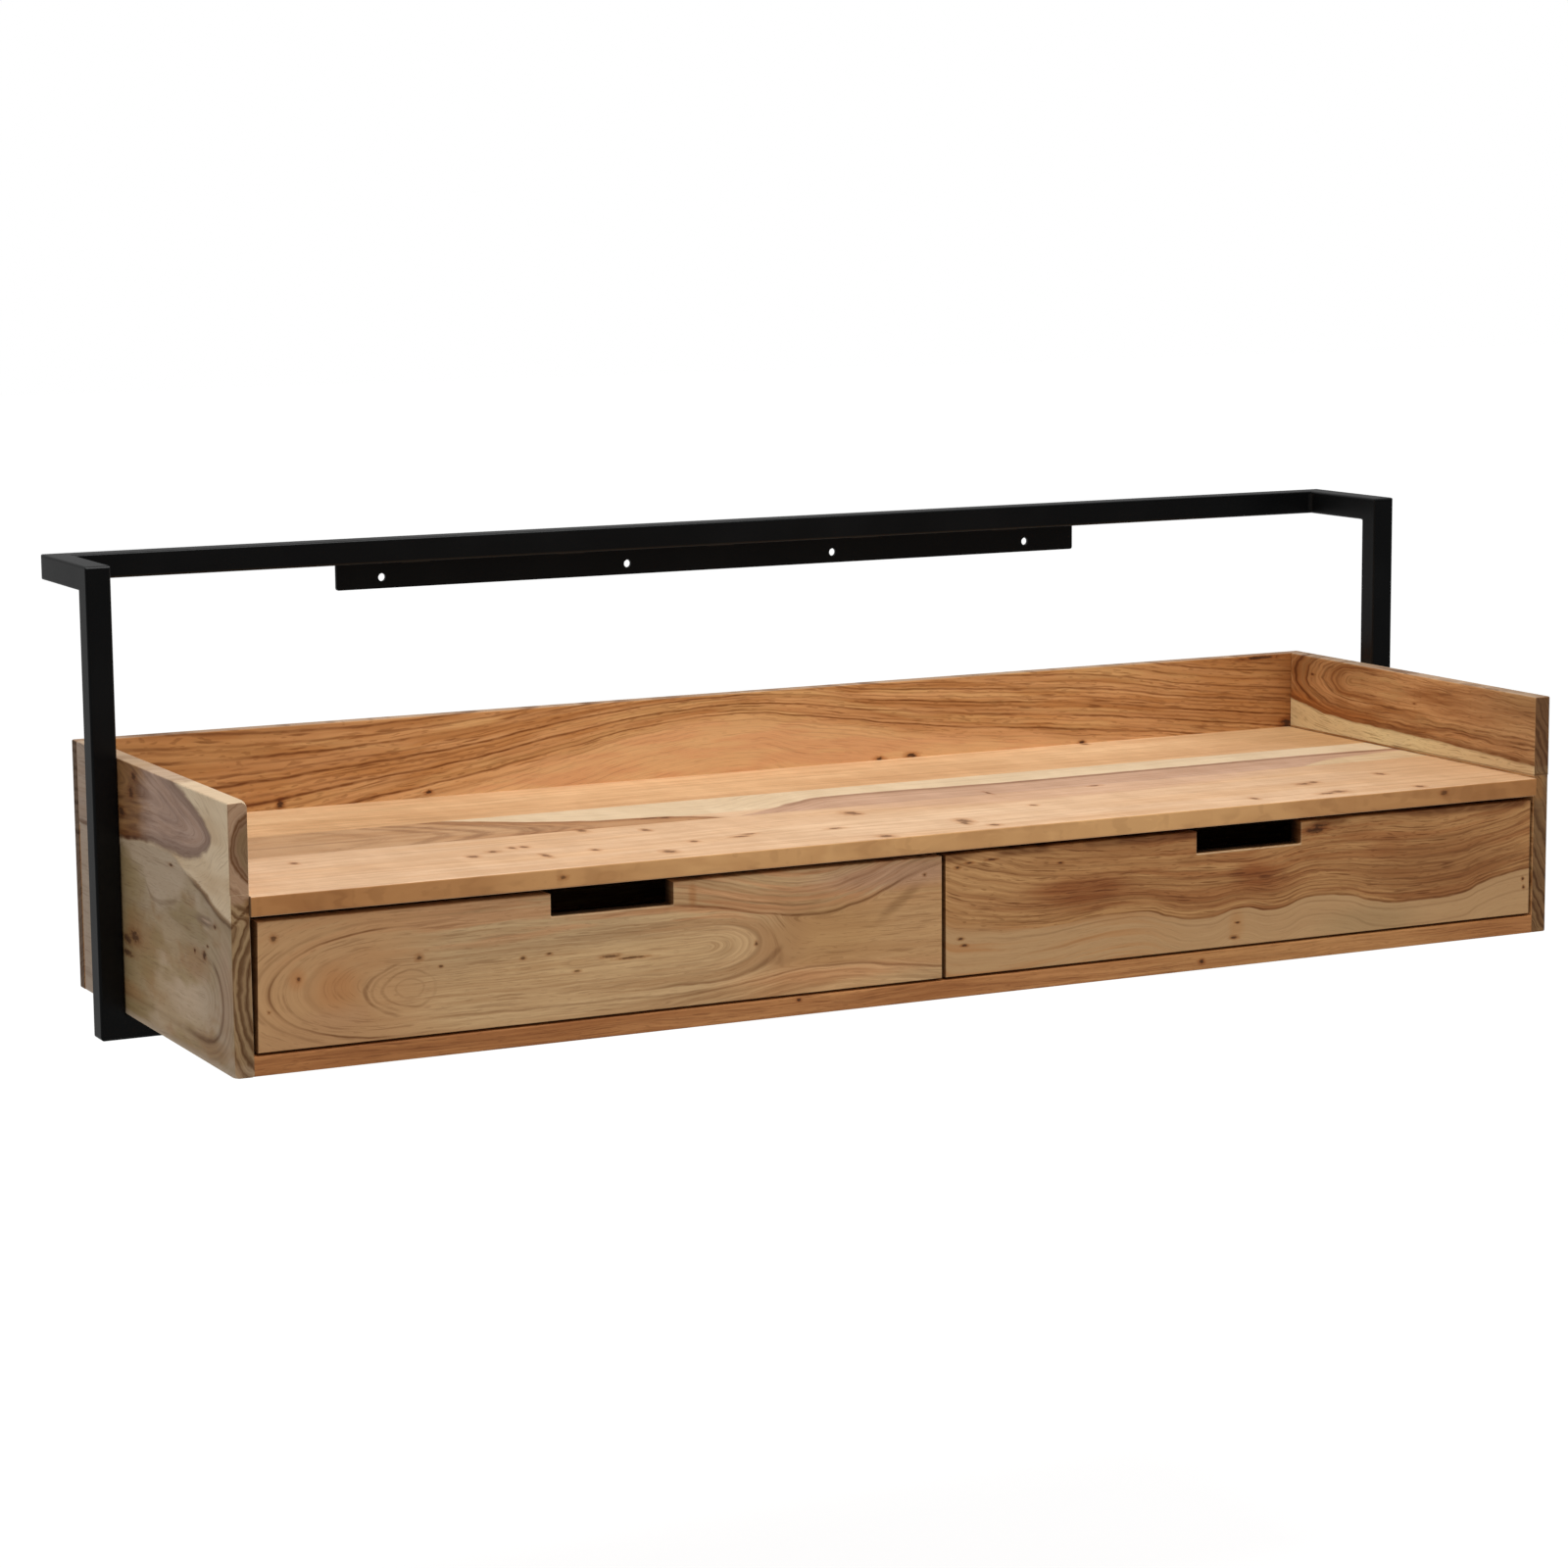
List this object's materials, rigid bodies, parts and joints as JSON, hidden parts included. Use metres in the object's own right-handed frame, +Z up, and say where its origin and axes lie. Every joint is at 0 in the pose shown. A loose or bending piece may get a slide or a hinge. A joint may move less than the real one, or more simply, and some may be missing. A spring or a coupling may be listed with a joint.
{
  "type": "floating wall desk",
  "caption": "Wall-hung wooden desk with an open tray top over inset drawers with finger notches, carried in a black square-tube frame that screws to the wall.",
  "frame": {"origin": "on the wall plane, at the middle of the wall rail's back face", "axes": "+X along the desk, to the right for someone who faces the wall; +Y into the wall; +Z up"},
  "size_m": [1.2, 0.38, 0.368],
  "materials": {
    "acacia": "oiled acacia, satin",
    "drawer_wood": "plain planed acacia",
    "plywood": "plain plywood",
    "dowel_wood": "beech dowel",
    "black_steel": "satin black powder coat",
    "slide_steel": "bright zinc plate",
    "ball_steel": "polished bearing balls",
    "screw_steel": "zinc plate"
  },
  "bodies": {
    "desk": {"side_panel_left": "acacia", "side_panel_right": "acacia", "desktop": "acacia", "bottom_panel": "acacia", "back_panel": "acacia", "centre_divider": "drawer_wood", "carcass_dowels": "dowel_wood", "back_panel_screws": "screw_steel", "crossbar_screws": "screw_steel", "channel_screws": "screw_steel", "wall_rail": "black_steel", "arm_left": "black_steel", "arm_right": "black_steel", "leg_left": "black_steel", "leg_right": "black_steel", "crossbar": "black_steel", "wall_strip": "black_steel", "frame_welds": "black_steel", "drawer_left_cabinet_channel_inner": "slide_steel", "drawer_left_cabinet_channel_outer": "slide_steel", "drawer_right_cabinet_channel_inner": "slide_steel", "drawer_right_cabinet_channel_outer": "slide_steel"},
    "drawer_left": {"drawer_left_front": "acacia", "drawer_left_side_inner": "drawer_wood", "drawer_left_side_outer": "drawer_wood", "drawer_left_back": "drawer_wood", "drawer_left_bottom": "plywood", "drawer_left_dowels": "dowel_wood", "drawer_left_drawer_screws": "screw_steel", "drawer_left_drawer_channel_inner": "slide_steel", "drawer_left_drawer_channel_outer": "slide_steel"},
    "drawer_right": {"drawer_right_front": "acacia", "drawer_right_side_inner": "drawer_wood", "drawer_right_side_outer": "drawer_wood", "drawer_right_back": "drawer_wood", "drawer_right_bottom": "plywood", "drawer_right_dowels": "dowel_wood", "drawer_right_drawer_screws": "screw_steel", "drawer_right_drawer_channel_inner": "slide_steel", "drawer_right_drawer_channel_outer": "slide_steel"},
    "cages_left": {"drawer_left_ball_cages": "slide_steel", "drawer_left_balls": "ball_steel"},
    "cages_right": {"drawer_right_ball_cages": "slide_steel", "drawer_right_balls": "ball_steel"}
  },
  "joints": [
    {"name": "drawer_left_slide", "type": "slide", "parent": "desk", "child": "drawer_left", "axis": [0, -1, 0], "range_m": [0, 0.223]},
    {"name": "cages_left_travel", "type": "slide", "parent": "desk", "child": "cages_left", "axis": [0, -1, 0], "range_m": [0, 0.1115]},
    {"name": "drawer_right_slide", "type": "slide", "parent": "desk", "child": "drawer_right", "axis": [0, -1, 0], "range_m": [0, 0.223]},
    {"name": "cages_right_travel", "type": "slide", "parent": "desk", "child": "cages_right", "axis": [0, -1, 0], "range_m": [0, 0.1115]}
  ],
  "couplings": [
    {"joint": "cages_left_travel", "follows": "drawer_left_slide", "ratio": 0.5},
    {"joint": "cages_right_travel", "follows": "drawer_right_slide", "ratio": 0.5}
  ]
}
